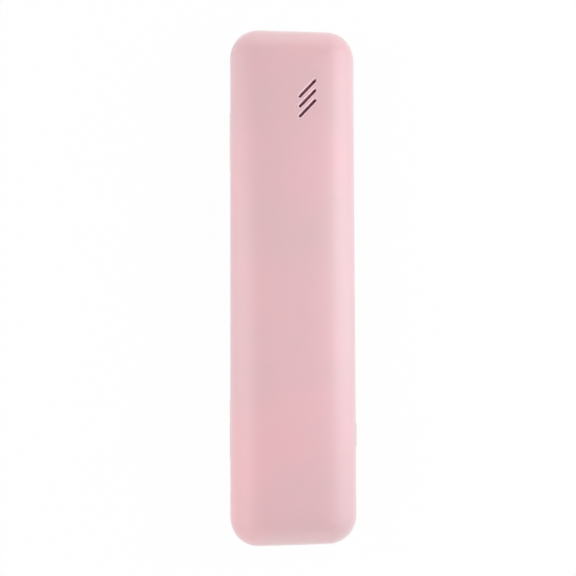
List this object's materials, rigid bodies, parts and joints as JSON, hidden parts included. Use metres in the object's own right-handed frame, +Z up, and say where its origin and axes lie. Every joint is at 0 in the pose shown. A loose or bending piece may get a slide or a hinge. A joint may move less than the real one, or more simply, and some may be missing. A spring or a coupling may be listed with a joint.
{
  "type": "uv toothbrush travel case",
  "caption": "Slim clamshell travel case for a toothbrush, with slanted vents, a hinged lid, a side start button and an ultraviolet lamp under the brush head.",
  "frame": {"origin": "on the surface that the case lies on, under the middle of the case", "axes": "+Z up through the lid, +Y along the case to the brush-head end, +X to the side with the start button; the hinge is on the -X side"},
  "size_m": [0.0517, 0.205, 0.03],
  "materials": {
    "soft_pink_shell": "soft-touch matte, pale pink",
    "soft_pink_button": "soft-touch matte, pale pink, a little greyer",
    "white_moulding": "fine-grained white",
    "green_board": "green solder mask",
    "white_lamp_board": "white solder mask",
    "black_package": "moulded black",
    "grey_ferrite": "sintered dark grey",
    "ivory_nylon": "natural nylon",
    "zinc_steel": "zinc plated",
    "lamp_package": "clear lens over a pale package",
    "clear_plastic": "clear, polished",
    "grey_silicone": "matte silicone",
    "pouch_foil": "dull silver pouch",
    "white_tape": "white foam tape",
    "red_insulation": "satin red",
    "black_insulation": "satin black",
    "plated_magnet": "nickel plated",
    "polished_sheet": "polished sheet",
    "dark_mesh": "fine dark weave"
  },
  "bodies": {
    "base": {"base_shell": "soft_pink_shell", "inner_tray": "white_moulding", "tray_screw_lower_left": "zinc_steel", "tray_screw_lower_right": "zinc_steel", "tray_screw_upper_left": "zinc_steel", "tray_screw_upper_right": "zinc_steel", "main_pcb": "green_board", "pcb_screw_lower": "zinc_steel", "pcb_screw_middle": "zinc_steel", "usb_c_port": "zinc_steel", "tact_switch": "black_package", "control_chip": "black_package", "charger_chip": "black_package", "boost_inductor": "grey_ferrite", "hall_sensor": "black_package", "charge_led": "lamp_package", "charge_light_pipe": "clear_plastic", "battery_socket": "ivory_nylon", "battery_plug": "ivory_nylon", "led_socket": "ivory_nylon", "led_plug": "ivory_nylon", "battery_cell": "pouch_foil", "battery_tape": "white_tape", "battery_wire_red": "red_insulation", "battery_wire_black": "black_insulation", "led_wire_red": "red_insulation", "led_wire_black": "black_insulation", "uv_led_board": "white_lamp_board", "uv_led_1": "lamp_package", "uv_led_2": "lamp_package", "uv_led_3": "lamp_package", "uv_window": "clear_plastic", "window_seal": "grey_silicone", "board_screw_lower": "zinc_steel", "board_screw_upper": "zinc_steel", "base_magnet_lower": "plated_magnet", "base_magnet_upper": "plated_magnet", "hinge_pin_lower": "zinc_steel", "hinge_pin_upper": "zinc_steel"},
    "lid": {"lid_shell": "soft_pink_shell", "lid_liner": "white_moulding", "reflector_plate": "polished_sheet", "vent_mesh": "dark_mesh", "lid_magnet_lower": "plated_magnet", "lid_magnet_upper": "plated_magnet", "liner_screw_lower_left": "zinc_steel", "liner_screw_lower_right": "zinc_steel", "liner_screw_upper_left": "zinc_steel", "liner_screw_upper_right": "zinc_steel"},
    "button": {"start_button": "soft_pink_button", "switch_stem": "ivory_nylon"}
  },
  "joints": [
    {"name": "lid_hinge", "type": "hinge", "parent": "base", "child": "lid", "pos_m": [-0.02355, 0, 0.01515], "axis": [0, -1, 0], "range_deg": [0, 105]},
    {"name": "button_press", "type": "slide", "parent": "base", "child": "button", "axis": [-1, 0, 0], "range_m": [0, 0.0005], "stiffness_N_per_m": 600, "springref_m": -0.0003}
  ]
}
